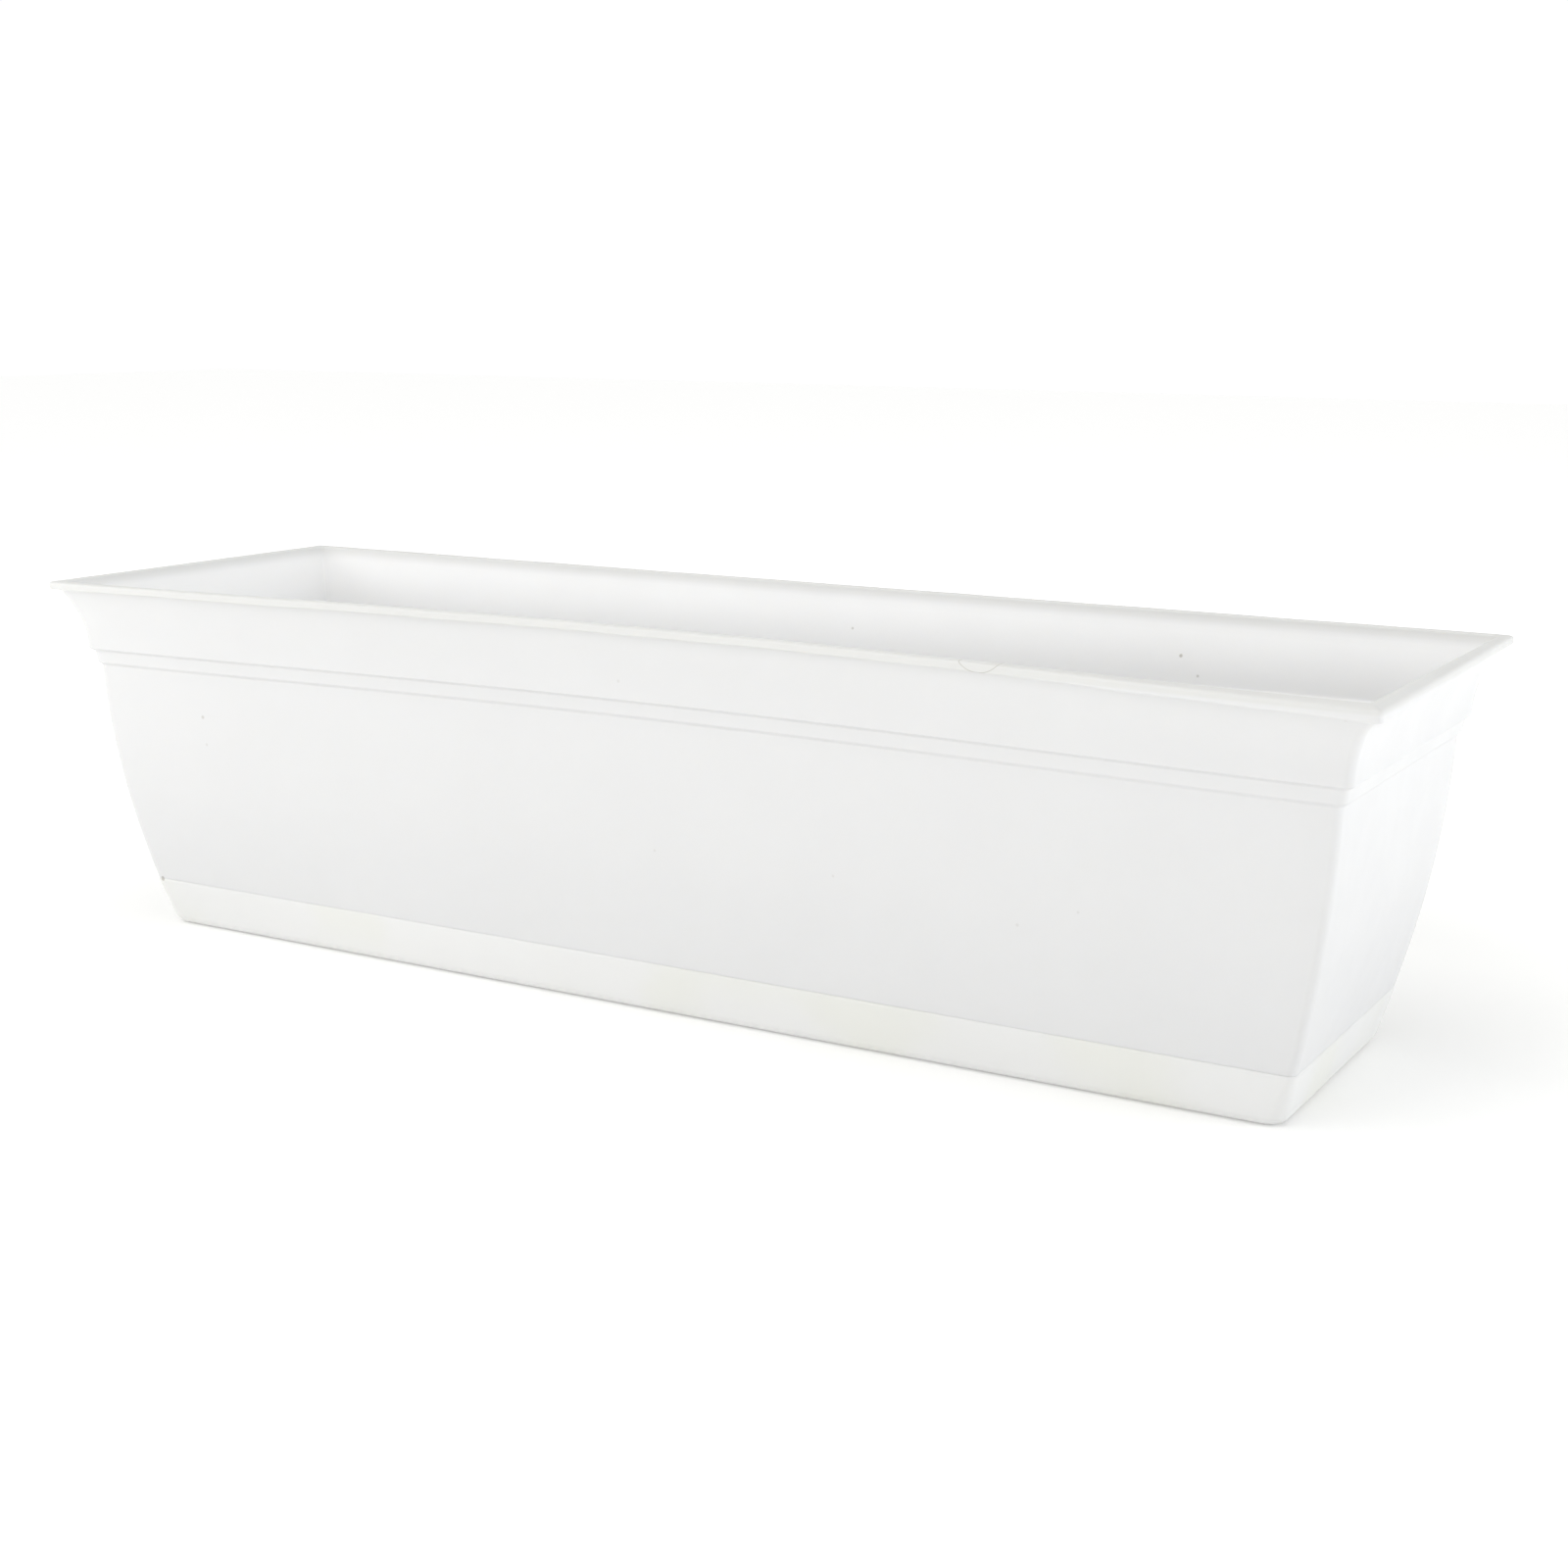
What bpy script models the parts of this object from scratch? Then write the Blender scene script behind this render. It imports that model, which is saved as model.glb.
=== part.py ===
# Self-watering window box: a tapered box with a flared, moulded rim stands in a shallow base tray.
# A lift-out platform makes a reservoir in the foot of the box. Two perforated wells dip the soil
# into the water, and a fill tube holds a float whose marker shows the level.
# Metres, +Z up, origin under the middle of the tray, long side along X, front towards -Y.

import bmesh
import bpy
import math
from mathutils import Matrix

for thing in list(bpy.data.objects):
    bpy.data.objects.remove(thing, do_unlink=True)

# Overall size
LENGTH = 0.610
WIDTH = 0.184
HEIGHT = 0.162
GAP = 0.0003                 # between pieces that touch

# Walls. An inset is how far a section lies inside the rim's outline.
WALL = 0.0024
END_RATIO = 1.06             # the ends lean a little more than the inset says
SIDE_RATIO = 0.94            # and the long sides a little less
BODY_RADIUS = 0.0036         # upright corners
RIM_RADIUS = 0.0020
TRAY_FOOT_RADIUS = 0.0070    # the tray is rounder at its foot
CORNER_STEPS = 4
FRONT_STEPS = 14             # the front wall needs stations, because it is bowed

# Heights of the mouldings
LIP_UNDER_Z = 0.1590
STEP_ONE_Z = 0.1312          # under the hollow band
STEP_TWO_Z = 0.1246          # under the narrow bead
SEAM_Z = 0.0218              # rim of the tray
LIP_REACH = 0.0030           # how far the lip stands out over the band
LIP_EDGE = 0.0008            # rounding along the lip
LIP_TOP_WIDTH = 0.0038
STEP_EASE = 0.0012           # height of the slope at each step

# Insets of the mouldings
BAND_FOOT_INSET = 0.0107
BEAD_TOP_INSET = 0.0125
BEAD_FOOT_INSET = 0.0132
BODY_TOP_INSET = 0.0146
BODY_LEAN = 0.0031            # the body leans in steadily by this much
BODY_BELLY = 0.0112           # and curves in by this much
TRAY_RIM_INSET = 0.0286
TRAY_SIDE_INSET = 0.0328
TRAY_FOOT_INSET = 0.0352

# The long front wall of the moulding has pulled inwards between its corners
BOW_AT_RIM = 0.0178
BOW_AT_STEPS = 0.0140
BOW_START_Z = 0.0100
BOW_REACH = 0.300
BOW_POWER = 1.75

# Inside the box
SKIRT_FOOT_Z = 0.0140        # the skirt drops into the tray
SKIRT_INSET = 0.0345
BOX_FLOOR_Z = 0.0244
FLOOR_THICKNESS = 0.0024
PLATFORM_Z = 0.0600          # underside of the platform
PLATFORM_THICKNESS = 0.0026
PLATFORM_CLEARANCE = 0.0020
PLATFORM_BOW = 0.0085
CUT_MARGIN = 0.004           # how far a cutter passes through a wall
OVERFLOW_SIZE = (0.014, 0.020, 0.005)
OVERFLOW_X = 0.170
OVERFLOW_Y = 0.072           # in the back wall
OVERFLOW_DROP = 0.007        # below the platform
TRAY_WALL = 0.0022
TRAY_FLOOR_Z = 0.0030
TRAY_RECESS = 0.0010
TRAY_RECESS_INSET = 0.0090
TRAY_FOOT_EASE = 0.0014
TRAY_FLOOR_EASE = 0.0020
RIB_THICKNESS = 0.0020       # ribs that the box's skirt stands on
RIB_LENGTH = 0.0090
RIB_REACH = 0.0030
RIB_XS = (-0.21, -0.07, 0.07, 0.21)

# Legs and drainage slots of the platform
LEG_FOOT_RADIUS = 0.0045
LEG_TOP_RADIUS = 0.0065
LEG_PLACES = [(-0.245, -0.040), (-0.245, 0.045), (-0.075, -0.040),
              (0.075, -0.040), (0.190, 0.050), (0.265, 0.045)]
SLOT_SIZE = (0.0036, 0.015, 0.020)
SLOT_PITCH = 0.020
SLOT_COLUMNS = range(-13, 14)
SLOT_ROWS = (-0.024, 0.003, 0.030)
SLOT_TO_WELL = 0.012         # plastic left between a slot and a well or the tube
SLOT_TO_TUBE = 0.010

# Soil wells
WELL_X = 0.140
WELL_TOP_RADIUS = 0.036
WELL_FOOT_RADIUS = 0.026
WELL_WALL = 0.0018
WELL_FLANGE = 0.0060         # width of the flange that rests on the platform
FLANGE_THICKNESS = 0.0020
FLANGE_EDGE = 0.0008
WELL_NECK = 0.0040           # height of the slope under the flange
WELL_NECK_STEP = 0.0012
WELL_FOOT_EASE = 0.0015
WELL_FOOT_GAP = 0.0022       # between the well and the floor of the box
WELL_STEPS = 32
WELL_SLOTS = 8
WELL_SLOT_SIZE = (0.0200, 0.0030, 0.0190)
WELL_SLOT_HEIGHT = 0.0155
WELL_SEEPS = 6
SEEP_RADIUS = 0.0020
SEEP_CIRCLE = 0.0140

# Fill tube
TUBE_X = 0.235
TUBE_Y = -0.043
TUBE_RADIUS = 0.0150
TUBE_WALL = 0.0018
TUBE_TOP_Z = 0.1390
COLLAR_RADIUS = 0.0185
COLLAR_HEIGHT = 0.0020
COLLAR_SLOPE_Z = 0.0060      # the collar has run out this far below the top
TUBE_MOUTH = 0.0030          # how far the bore opens out at the top
TUBE_FLANGE = 0.0050
TUBE_STEPS = 24
NOTCH_WIDTH = 0.0060         # water gets in through notches in the foot of the tube
NOTCH_HEIGHT = 0.0060

# Cap of the fill tube
CAP_WALL = 0.0020
CAP_SKIRT = 0.0075
CAP_ROOF = 0.0024
CAP_BOSS = 0.0040            # height of the boss round the marker's hole
CAP_HOLE_RADIUS = 0.0042
CAP_BOSS_RADIUS = 0.0095
CAP_BOSS_SLOPE = 0.0015
CAP_EDGE = 0.0010

# Float, its rod and its marker
FLOAT_FOOT_Z = BOX_FLOOR_Z + 2 * GAP
FLOAT_HEIGHT = 0.016
FLOAT_RADIUS = 0.0112
FLOAT_EDGE = 0.0022
SOCKET_DEPTH = 0.0080        # how far the rod goes into the float
ROD_RADIUS = 0.0015
ROD_IN_MARKER = 0.0035
MARKER_FOOT_Z = 0.1370
MARKER_HEIGHT = 0.0062
MARKER_RADIUS = 0.0033

# Drain plugs
PLUG_PLACES = [(-0.215, 0.030), (-0.080, 0.030), (0.080, 0.030), (0.215, 0.030)]
PLUG_RADIUS = 0.0080
PLUG_FLANGE = 0.0034
PLUG_FLANGE_THICKNESS = 0.0020
PLUG_HEIGHT = 0.0075
PLUG_KNOB_RADIUS = 0.0040
PLUG_NECK_RADIUS = 0.0034
PLUG_NECK_Z = 0.0030
PLUG_BELOW = 0.0030          # how far the plug stands out under the floor
PLUG_HOLLOW_RADIUS = 0.0045
PLUG_EDGE = 0.0008

parts = bpy.data.collections.new("self_watering_planter")
cutters = bpy.data.collections.new("cutters")
for group in (parts, cutters):
    bpy.context.scene.collection.children.link(group)


# ---- helpers ----

def make_material(name, color, roughness):
    material = bpy.data.materials.new(name)
    material.use_nodes = True
    shader = material.node_tree.nodes["Principled BSDF"]
    shader.inputs["Base Color"].default_value = (*color, 1.0)
    shader.inputs["Roughness"].default_value = roughness
    shader.inputs["Metallic"].default_value = 0.0
    return material


def add_object(name, bm, group=parts, material=None, place=(0.0, 0.0, 0.0)):
    mesh = bpy.data.meshes.new(name)
    bm.to_mesh(mesh)
    bm.free()
    made = bpy.data.objects.new(name, mesh)
    made.location = place
    group.objects.link(made)
    if material:
        mesh.materials.append(material)
        mesh.shade_smooth()
        mesh.set_sharp_from_angle(angle=math.radians(32))
    else:
        made.hide_render = True
        made.display_type = "WIRE"
    return made


def boolean(target, tool, operation="DIFFERENCE"):
    cut = target.modifiers.new(operation.lower(), "BOOLEAN")
    cut.operation = operation
    cut.solver = "EXACT"
    cut.object = tool


def box_tool(name, size, centre):
    bm = bmesh.new()
    bmesh.ops.create_cube(bm, size=1.0)
    bmesh.ops.scale(bm, vec=size, verts=bm.verts)
    bmesh.ops.translate(bm, vec=centre, verts=bm.verts)
    return add_object(name, bm, cutters)


def round_tool(name, radius, top_radius, low_z, high_z, x=0.0, y=0.0, sides=16):
    bm = bmesh.new()
    bmesh.ops.create_cone(bm, cap_ends=True, segments=sides, radius1=radius, radius2=top_radius,
                          depth=high_z - low_z)
    bmesh.ops.translate(bm, vec=(x, y, (low_z + high_z) / 2), verts=bm.verts)
    return add_object(name, bm, cutters)


def merged_tool(name, tools):
    # Tools that don't touch each other, as one cutter
    bm = bmesh.new()
    for tool in tools:
        bm.from_mesh(tool.data)
        bpy.data.objects.remove(tool, do_unlink=True)
    return add_object(name, bm, cutters)


def turned(name, profile, material, place, steps=24, closed=False):
    # A profile of (radius, height) points, run down its outer side and turned about Z
    bm = bmesh.new()
    points = [bm.verts.new((radius, 0.0, z)) for radius, z in profile]
    for first, second in zip(points, points[1:]):
        bm.edges.new((first, second))
    if closed:
        bm.edges.new((points[-1], points[0]))
    made = add_object(name, bm, parts, material, place)
    screw = made.modifiers.new("turn", "SCREW")
    screw.axis = "Z"
    screw.angle = math.tau
    screw.steps = steps
    screw.render_steps = steps
    screw.use_merge_vertices = True
    screw.merge_threshold = 0.00005
    screw.use_smooth_shade = True
    return made


# ---- sections of the box ----

def body_inset(z):
    # The side bellies out a little between the tray and the mouldings
    down = (STEP_TWO_Z - z) / (STEP_TWO_Z - SEAM_Z)
    return BODY_TOP_INSET + BODY_LEAN * down + BODY_BELLY * down ** 2


def band_inset(z):
    # Hollow band: upright at its foot, flaring out under the lip
    rise = (z - STEP_ONE_Z) / (LIP_UNDER_Z - STEP_ONE_Z)
    return BAND_FOOT_INSET - (BAND_FOOT_INSET - LIP_REACH) * rise ** 2


def bow_depth(z):
    if z <= BOW_START_Z:
        return 0.0
    if z <= STEP_TWO_Z:
        return BOW_AT_STEPS * (z - BOW_START_Z) / (STEP_TWO_Z - BOW_START_Z)
    return BOW_AT_STEPS + (BOW_AT_RIM - BOW_AT_STEPS) * (z - STEP_TWO_Z) / (HEIGHT - STEP_TWO_Z)


def section(inset, z, radius, bow=None, wall=0.0):
    # Rounded rectangle, anticlockwise seen from above, its front side bowed inwards
    half_x = LENGTH / 2 - inset * END_RATIO - wall
    half_y = WIDTH / 2 - inset * SIDE_RATIO - wall
    radius = max(radius - wall, 0.0012)
    depth = bow_depth(z) if bow is None else bow
    corners = [(-1, -1, math.pi), (1, -1, 1.5 * math.pi), (1, 1, 0.0), (-1, 1, 0.5 * math.pi)]
    points = []
    for side_x, side_y, start in corners:
        centre_x = side_x * (half_x - radius)
        centre_y = side_y * (half_y - radius)
        for step in range(CORNER_STEPS + 1):
            angle = start + 0.5 * math.pi * step / CORNER_STEPS
            points.append((centre_x + radius * math.cos(angle), centre_y + radius * math.sin(angle)))
        if side_x == -1 and side_y == -1:
            for step in range(1, FRONT_STEPS):
                points.append((centre_x - 2 * centre_x * step / FRONT_STEPS, centre_y - radius))
    bowed = []
    for x, y in points:
        if y < 0:
            across = max(0.0, 1.0 - (x / BOW_REACH) ** 2)
            y += depth * across ** BOW_POWER
        bowed.append((x, y, z))
    return bowed


def loft(name, sections, material):
    # Skin over a run of sections, closed by its first and last
    bm = bmesh.new()
    rings = [[bm.verts.new(point) for point in ring] for ring in sections]
    for lower, upper in zip(rings, rings[1:]):
        for index in range(len(lower)):
            after = (index + 1) % len(lower)
            bm.faces.new((lower[index], lower[after], upper[after], upper[index]))
    bm.faces.new(list(reversed(rings[0])))
    bm.faces.new(rings[-1])
    return add_object(name, bm, parts, material)


def make_planter_box(material):
    body_zs = [SEAM_Z + GAP + (STEP_TWO_Z - SEAM_Z) * part for part in (0.0, 0.15, 0.32, 0.5, 0.7, 0.88)]
    band_zs = [STEP_ONE_Z + (LIP_UNDER_Z - STEP_ONE_Z) * part for part in (0.0, 0.3, 0.55, 0.75, 0.9, 1.0)]
    seat_z = SEAM_Z + GAP
    floor_under_z = BOX_FLOOR_Z - FLOOR_THICKNESS
    outside = [
        section(SKIRT_INSET, floor_under_z, BODY_RADIUS, wall=WALL),
        section(SKIRT_INSET, SKIRT_FOOT_Z, BODY_RADIUS, bow=0.0, wall=WALL),
        section(SKIRT_INSET, SKIRT_FOOT_Z, BODY_RADIUS, bow=0.0),
        section(SKIRT_INSET, seat_z, BODY_RADIUS),
    ]
    outside += [section(body_inset(z), z, BODY_RADIUS) for z in body_zs]
    outside += [
        section(BODY_TOP_INSET, STEP_TWO_Z - STEP_EASE, BODY_RADIUS),
        section(BEAD_FOOT_INSET + GAP, STEP_TWO_Z, BODY_RADIUS),
        section(BEAD_FOOT_INSET, STEP_TWO_Z + LIP_EDGE, BODY_RADIUS),
        section(BEAD_TOP_INSET, STEP_ONE_Z - STEP_EASE, BODY_RADIUS),
        section(BAND_FOOT_INSET + GAP, STEP_ONE_Z - GAP, BODY_RADIUS),
    ]
    outside += [section(band_inset(z), z, BODY_RADIUS) for z in band_zs]
    lip = [
        section(LIP_EDGE, LIP_UNDER_Z, RIM_RADIUS),
        section(0.0, LIP_UNDER_Z + LIP_EDGE, RIM_RADIUS),
        section(0.0, HEIGHT - LIP_EDGE, RIM_RADIUS),
        section(LIP_EDGE, HEIGHT, RIM_RADIUS),
        section(LIP_TOP_WIDTH, HEIGHT, RIM_RADIUS),
        section(LIP_TOP_WIDTH + LIP_EDGE, HEIGHT - LIP_EDGE, RIM_RADIUS),
    ]
    inside = [section(band_inset(z), z, BODY_RADIUS, wall=WALL) for z in reversed(band_zs[1:-1])]
    inside += [
        section(BAND_FOOT_INSET, STEP_ONE_Z + STEP_EASE, BODY_RADIUS, wall=WALL),
        section(BEAD_FOOT_INSET, STEP_ONE_Z - STEP_EASE, BODY_RADIUS, wall=WALL),
        section(BODY_TOP_INSET, STEP_TWO_Z + LIP_EDGE, BODY_RADIUS, wall=WALL),
    ]
    inside += [section(body_inset(z), z, BODY_RADIUS, wall=WALL) for z in reversed(body_zs[1:])]
    inside.append(section(body_inset(BOX_FLOOR_Z), BOX_FLOOR_Z, BODY_RADIUS, wall=WALL))
    box = loft("planter_box", outside + lip + inside, material)
    holes = [round_tool(f"drain_hole_{index}", PLUG_RADIUS + GAP, PLUG_RADIUS + GAP,
                        floor_under_z - CUT_MARGIN, BOX_FLOOR_Z + CUT_MARGIN, x, y)
             for index, (x, y) in enumerate(PLUG_PLACES)]
    holes += [box_tool(f"overflow_{x}", OVERFLOW_SIZE, (x, OVERFLOW_Y, PLATFORM_Z - OVERFLOW_DROP))
              for x in (-OVERFLOW_X, OVERFLOW_X)]
    boolean(box, merged_tool("box_holes", holes))
    return box


def make_base_tray(material):
    slope = [(TRAY_FOOT_INSET, 0.0, TRAY_FOOT_RADIUS),
             (TRAY_FOOT_INSET - TRAY_FOOT_EASE, TRAY_RECESS, TRAY_FOOT_RADIUS),
             (TRAY_SIDE_INSET, TRAY_FLOOR_Z, TRAY_FOOT_RADIUS),
             (TRAY_RIM_INSET, SEAM_Z - LIP_EDGE, BODY_RADIUS),
             (TRAY_RIM_INSET + GAP, SEAM_Z, BODY_RADIUS)]
    recess_inset = TRAY_FOOT_INSET + TRAY_RECESS_INSET
    sections = [section(recess_inset, TRAY_RECESS, BODY_RADIUS, bow=0.0),
                section(recess_inset, 0.0, BODY_RADIUS, bow=0.0)]
    sections += [section(inset, z, radius, bow=0.0) for inset, z, radius in slope]
    sections += [section(TRAY_RIM_INSET, SEAM_Z, BODY_RADIUS, bow=0.0, wall=TRAY_WALL),
                 section(TRAY_SIDE_INSET, TRAY_FLOOR_Z + TRAY_FLOOR_EASE, TRAY_FOOT_RADIUS, bow=0.0,
                         wall=TRAY_WALL),
                 section(TRAY_SIDE_INSET + TRAY_FLOOR_EASE, TRAY_FLOOR_Z, TRAY_FOOT_RADIUS, bow=0.0,
                         wall=TRAY_WALL)]
    tray = loft("base_tray", sections, material)
    rib_top = SKIRT_FOOT_Z - GAP
    rib_height = rib_top - TRAY_FLOOR_Z + TRAY_RECESS
    rib_z = rib_top - rib_height / 2
    side_y = WIDTH / 2 - TRAY_SIDE_INSET * SIDE_RATIO - TRAY_WALL - RIB_REACH
    end_x = LENGTH / 2 - TRAY_SIDE_INSET * END_RATIO - TRAY_WALL - RIB_REACH
    ribs = []
    for side in (-1, 1):
        for x in RIB_XS:
            ribs.append(box_tool(f"rib_{x}_{side}", (RIB_THICKNESS, RIB_LENGTH, rib_height),
                                 (x, side * side_y, rib_z)))
        ribs.append(box_tool(f"end_rib_{side}", (RIB_LENGTH, RIB_THICKNESS, rib_height),
                             (side * end_x, 0.0, rib_z)))
    boolean(tray, merged_tool("tray_ribs", ribs), "UNION")
    return tray


def make_water_platform(material):
    top_z = PLATFORM_Z + PLATFORM_THICKNESS
    inset = body_inset(PLATFORM_Z)
    edge = WALL + PLATFORM_CLEARANCE
    plate = loft("water_platform",
                 [section(inset, PLATFORM_Z, BODY_RADIUS, bow=PLATFORM_BOW, wall=edge),
                  section(inset, top_z, BODY_RADIUS, bow=PLATFORM_BOW, wall=edge)], material)
    legs = [round_tool(f"leg_{index}", LEG_FOOT_RADIUS, LEG_TOP_RADIUS, BOX_FLOOR_Z + GAP,
                       PLATFORM_Z + PLATFORM_THICKNESS / 2, x, y, sides=10)
            for index, (x, y) in enumerate(LEG_PLACES)]
    boolean(plate, merged_tool("platform_legs", legs), "UNION")
    low, high = PLATFORM_Z - CUT_MARGIN, top_z + CUT_MARGIN
    openings = [round_tool(f"well_hole_{x}", WELL_TOP_RADIUS + GAP, WELL_TOP_RADIUS + GAP, low, high, x,
                           sides=WELL_STEPS) for x in (-WELL_X, WELL_X)]
    openings.append(round_tool("tube_hole", TUBE_RADIUS + GAP, TUBE_RADIUS + GAP, low, high,
                               TUBE_X, TUBE_Y, sides=TUBE_STEPS))
    # Rows of drainage slots between the wells, the tube and the legs
    for column in SLOT_COLUMNS:
        x = SLOT_PITCH * column
        for y in SLOT_ROWS:
            near_well = math.hypot(abs(x) - WELL_X, y) < WELL_TOP_RADIUS + SLOT_TO_WELL
            near_tube = math.hypot(x - TUBE_X, y - TUBE_Y) < COLLAR_RADIUS + SLOT_TO_TUBE
            if not (near_well or near_tube):
                openings.append(box_tool(f"slot_{column}_{y}", SLOT_SIZE, (x, y, PLATFORM_Z)))
    boolean(plate, merged_tool("platform_openings", openings))
    return plate


def make_soil_well(name, x, material):
    # Flange on the platform, cup tapering down to just above the floor of the box
    rest = PLATFORM_Z + PLATFORM_THICKNESS + GAP
    top = rest + FLANGE_THICKNESS
    foot = BOX_FLOOR_Z + WELL_FOOT_GAP
    floor = foot + WELL_WALL
    neck_z, neck = rest - WELL_NECK, WELL_TOP_RADIUS - WELL_NECK_STEP
    flange = WELL_TOP_RADIUS + WELL_FLANGE
    profile = [
        (flange - FLANGE_EDGE, top), (flange, top - FLANGE_EDGE), (flange, rest), (WELL_TOP_RADIUS, rest),
        (neck, neck_z), (WELL_FOOT_RADIUS, foot + WELL_FOOT_EASE), (WELL_FOOT_RADIUS - WELL_FOOT_EASE, foot),
        (0.0, foot), (0.0, floor), (WELL_FOOT_RADIUS - WELL_WALL - FLANGE_EDGE, floor),
        (neck - WELL_WALL, neck_z), (WELL_TOP_RADIUS - WELL_WALL, top), (flange - FLANGE_EDGE, top)]
    well = turned(name, profile, material, (x, 0.0, 0.0), steps=WELL_STEPS)
    cuts = []
    for step in range(WELL_SLOTS):
        bm = bmesh.new()
        bmesh.ops.create_cube(bm, size=1.0)
        bmesh.ops.scale(bm, vec=WELL_SLOT_SIZE, verts=bm.verts)
        bmesh.ops.translate(bm, vec=(WELL_TOP_RADIUS - WELL_NECK, 0.0, foot + WELL_SLOT_HEIGHT),
                            verts=bm.verts)
        bmesh.ops.rotate(bm, cent=(0, 0, 0), verts=bm.verts,
                         matrix=Matrix.Rotation(math.tau * (step + 0.5) / WELL_SLOTS, 3, "Z"))
        bmesh.ops.translate(bm, vec=(x, 0.0, 0.0), verts=bm.verts)
        cuts.append(add_object(f"{name}_slot_{step}", bm, cutters))
    for step in range(WELL_SEEPS):
        turn = math.tau * step / WELL_SEEPS
        cuts.append(round_tool(f"{name}_seep_{step}", SEEP_RADIUS, SEEP_RADIUS, foot - CUT_MARGIN,
                               floor + CUT_MARGIN, x + SEEP_CIRCLE * math.cos(turn),
                               SEEP_CIRCLE * math.sin(turn), sides=8))
    boolean(well, merged_tool(f"{name}_openings", cuts))
    return well


def make_fill_tube(material):
    rest = PLATFORM_Z + PLATFORM_THICKNESS + GAP
    foot = BOX_FLOOR_Z + GAP
    bore = TUBE_RADIUS - TUBE_WALL
    flange = TUBE_RADIUS + TUBE_FLANGE
    slope_z = TUBE_TOP_Z - COLLAR_SLOPE_Z
    profile = [
        (bore + TUBE_MOUTH, TUBE_TOP_Z), (COLLAR_RADIUS, TUBE_TOP_Z),
        (COLLAR_RADIUS, TUBE_TOP_Z - COLLAR_HEIGHT), (TUBE_RADIUS, slope_z),
        (TUBE_RADIUS, rest + FLANGE_THICKNESS), (flange, rest + FLANGE_THICKNESS), (flange, rest),
        (TUBE_RADIUS, rest), (TUBE_RADIUS, foot), (bore, foot), (bore, slope_z)]
    tube = turned("fill_tube", profile, material, (TUBE_X, TUBE_Y, 0.0), steps=TUBE_STEPS, closed=True)
    across, along = 2 * flange, NOTCH_WIDTH
    for name, size_x, size_y in (("notch_across", across, along), ("notch_along", along, across)):
        boolean(tube, box_tool(name, (size_x, size_y, 2 * NOTCH_HEIGHT), (TUBE_X, TUBE_Y, foot)))
    return tube


def make_fill_cap(material):
    # Cap over the tube's collar, with a hole that the level marker shows in
    inner = COLLAR_RADIUS + GAP
    outer = inner + CAP_WALL
    roof = TUBE_TOP_Z + GAP
    profile = [
        (CAP_HOLE_RADIUS, roof + CAP_BOSS - FLANGE_EDGE), (CAP_HOLE_RADIUS + CAP_EDGE, roof + CAP_BOSS),
        (CAP_BOSS_RADIUS - CAP_BOSS_SLOPE, roof + CAP_BOSS), (CAP_BOSS_RADIUS, roof + CAP_ROOF),
        (COLLAR_RADIUS, roof + CAP_ROOF), (outer - GAP, roof + CAP_EDGE), (outer, roof - CAP_EDGE),
        (outer, roof - CAP_SKIRT), (inner, roof - CAP_SKIRT), (inner, roof), (CAP_HOLE_RADIUS, roof)]
    return turned("fill_cap", profile, material, (TUBE_X, TUBE_Y, 0.0), closed=True)


def make_float(float_material, rod_material, marker_material):
    place = (TUBE_X, TUBE_Y, 0.0)
    top = FLOAT_FOOT_Z + FLOAT_HEIGHT
    socket = ROD_RADIUS + GAP
    socket_z = top - SOCKET_DEPTH
    narrow = FLOAT_RADIUS - FLOAT_EDGE
    turned("float_body", [
        (socket, top), (narrow, top), (FLOAT_RADIUS, top - FLOAT_EDGE),
        (FLOAT_RADIUS, FLOAT_FOOT_Z + FLOAT_EDGE), (narrow, FLOAT_FOOT_Z), (0.0, FLOAT_FOOT_Z),
        (0.0, socket_z), (socket, socket_z), (socket, top)],
        float_material, place)
    rod_top = MARKER_FOOT_Z + ROD_IN_MARKER
    turned("float_rod", [
        (0.0, rod_top), (ROD_RADIUS, rod_top), (ROD_RADIUS, socket_z + GAP), (0.0, socket_z + GAP)],
        rod_material, place, steps=12)
    crown = MARKER_FOOT_Z + MARKER_HEIGHT
    hollow_z = rod_top + GAP
    turned("float_marker", [
        (0.0, crown), (0.42 * MARKER_RADIUS, crown - 0.03 * MARKER_HEIGHT),
        (0.79 * MARKER_RADIUS, crown - 0.16 * MARKER_HEIGHT), (MARKER_RADIUS, crown - 0.39 * MARKER_HEIGHT),
        (MARKER_RADIUS, MARKER_FOOT_Z + GAP), (MARKER_RADIUS - GAP, MARKER_FOOT_Z), (socket, MARKER_FOOT_Z),
        (socket, hollow_z), (0.0, hollow_z)], marker_material, place, steps=16)


def make_drain_plug(name, x, y, material):
    seat = BOX_FLOOR_Z + GAP
    foot = BOX_FLOOR_Z - FLOOR_THICKNESS - PLUG_BELOW
    flange, flange_z = PLUG_RADIUS + PLUG_FLANGE, seat + PLUG_FLANGE_THICKNESS
    knob_z, hollow_z = seat + PLUG_HEIGHT, BOX_FLOOR_Z - FLOOR_THICKNESS / 2
    turned(name, [
        (0.0, knob_z), (PLUG_KNOB_RADIUS - PLUG_EDGE, knob_z), (PLUG_KNOB_RADIUS, knob_z - PLUG_EDGE),
        (PLUG_NECK_RADIUS, seat + PLUG_NECK_Z), (PLUG_KNOB_RADIUS, flange_z), (flange - PLUG_EDGE, flange_z),
        (flange, flange_z - PLUG_EDGE), (flange, seat), (PLUG_RADIUS - GAP / 3, seat),
        (PLUG_RADIUS - PLUG_EDGE, foot), (PLUG_HOLLOW_RADIUS, foot), (PLUG_HOLLOW_RADIUS, hollow_z),
        (0.0, hollow_z)], material, (x, y, 0.0), steps=16)


# ---- the pieces ----

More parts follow.
